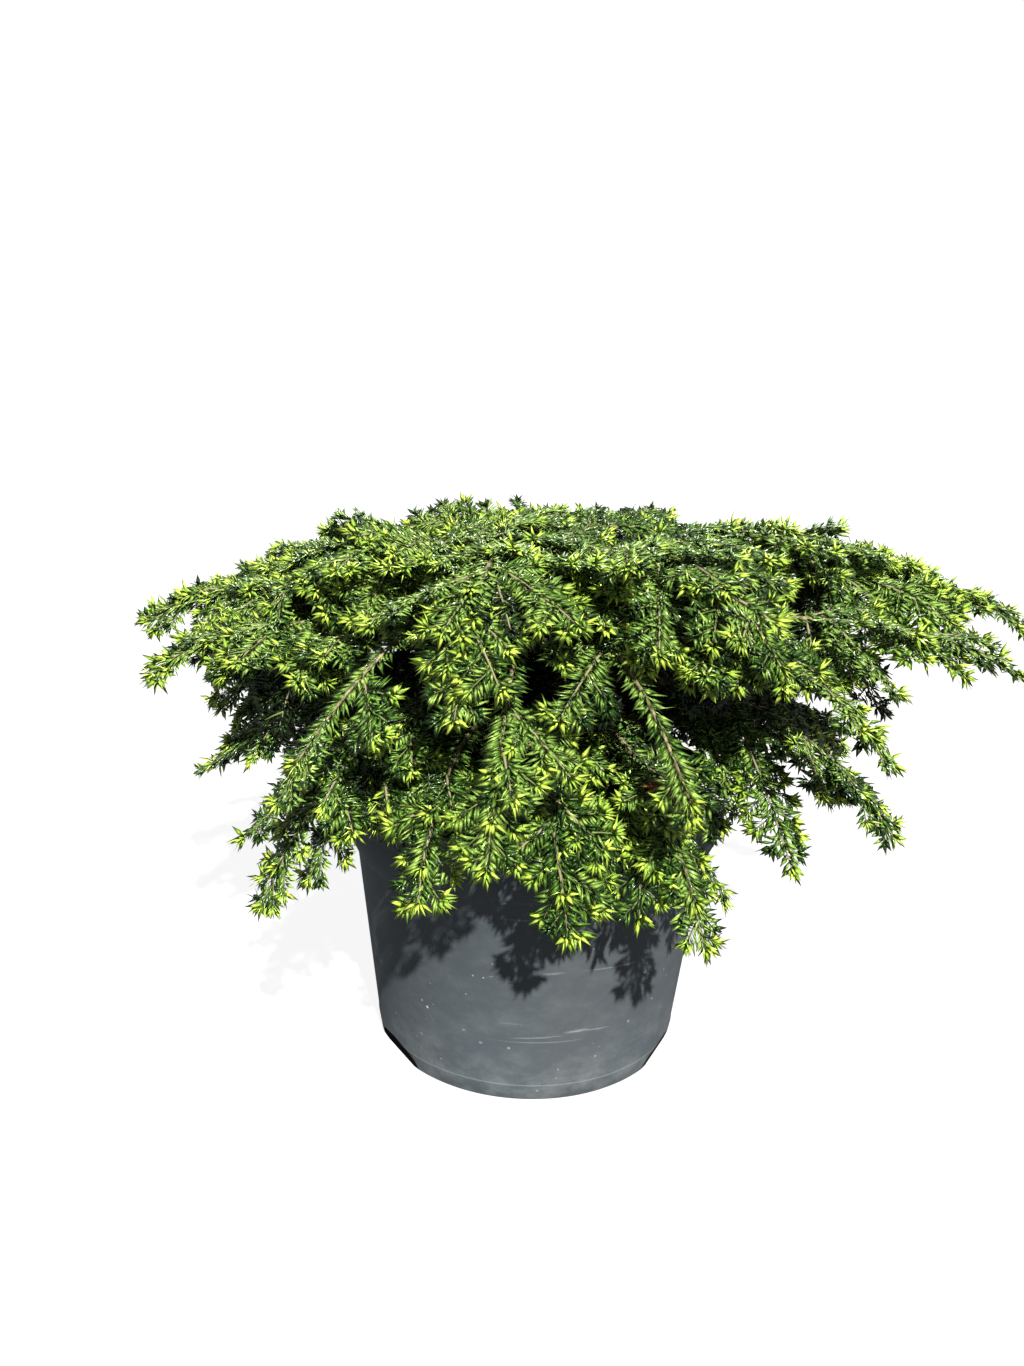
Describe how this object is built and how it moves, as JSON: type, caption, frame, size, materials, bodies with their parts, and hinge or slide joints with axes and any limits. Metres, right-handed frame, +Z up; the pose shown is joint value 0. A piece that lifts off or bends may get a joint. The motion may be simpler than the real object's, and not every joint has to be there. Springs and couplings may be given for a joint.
{
  "type": "potted popeleski eastern hemlock",
  "caption": "Low, flat-topped weeping conifer shrub in a round tapered plastic nursery pot with a flared collar; arching boughs carry drooping sprays of short needles.",
  "frame": {"origin": "centre of the pot's flat underside, where it stands", "axes": "+Z up along the pot's axis; -Y is the front, which the picture shows; +X is to the right as seen from the front"},
  "size_m": [0.3709, 0.319, 0.2353],
  "materials": {
    "pot": "dusty matt, injection moulded",
    "soil": "moist compost",
    "bark": "rough bark",
    "needles": "evergreen needles"
  },
  "bodies": {
    "root": {"bough_lower_back_left": "bark", "bough_lower_back_right": "bark", "bough_lower_front": "bark", "bough_lower_front_left": "bark", "bough_lower_front_right": "bark", "bough_lower_left": "bark", "bough_lower_left_back": "bark", "bough_lower_left_front": "bark", "bough_lower_right": "bark", "bough_lower_right_back": "bark", "bough_upper_back": "bark", "bough_upper_back_left": "bark", "bough_upper_back_right": "bark", "bough_upper_front": "bark", "bough_upper_front_left": "bark", "bough_upper_front_right": "bark", "bough_upper_left": "bark", "bough_upper_left_back": "bark", "bough_upper_left_front": "bark", "bough_upper_left_middle": "bark", "bough_upper_right": "bark", "bough_upper_right_back": "bark", "bough_upper_right_front": "bark", "bough_upper_right_low": "bark", "foliage_crown_back": "needles", "foliage_crown_front": "needles", "foliage_crown_front_right": "needles", "foliage_crown_left_back": "needles", "foliage_crown_left_front": "needles", "foliage_crown_right": "needles", "foliage_crown_right_back": "needles", "foliage_crown_top": "needles", "foliage_lower_back_left": "needles", "foliage_lower_back_right": "needles", "foliage_lower_front": "needles", "foliage_lower_front_left": "needles", "foliage_lower_front_right": "needles", "foliage_lower_left": "needles", "foliage_lower_left_back": "needles", "foliage_lower_left_front": "needles", "foliage_lower_right": "needles", "foliage_lower_right_back": "needles", "foliage_upper_back": "needles", "foliage_upper_back_left": "needles", "foliage_upper_back_right": "needles", "foliage_upper_front": "needles", "foliage_upper_front_left": "needles", "foliage_upper_front_right": "needles", "foliage_upper_left": "needles", "foliage_upper_left_back": "needles", "foliage_upper_left_front": "needles", "foliage_upper_left_middle": "needles", "foliage_upper_right": "needles", "foliage_upper_right_back": "needles", "foliage_upper_right_front": "needles", "foliage_upper_right_low": "needles", "pot": "pot", "soil": "soil", "trunk": "bark"}
  },
  "joints": []
}
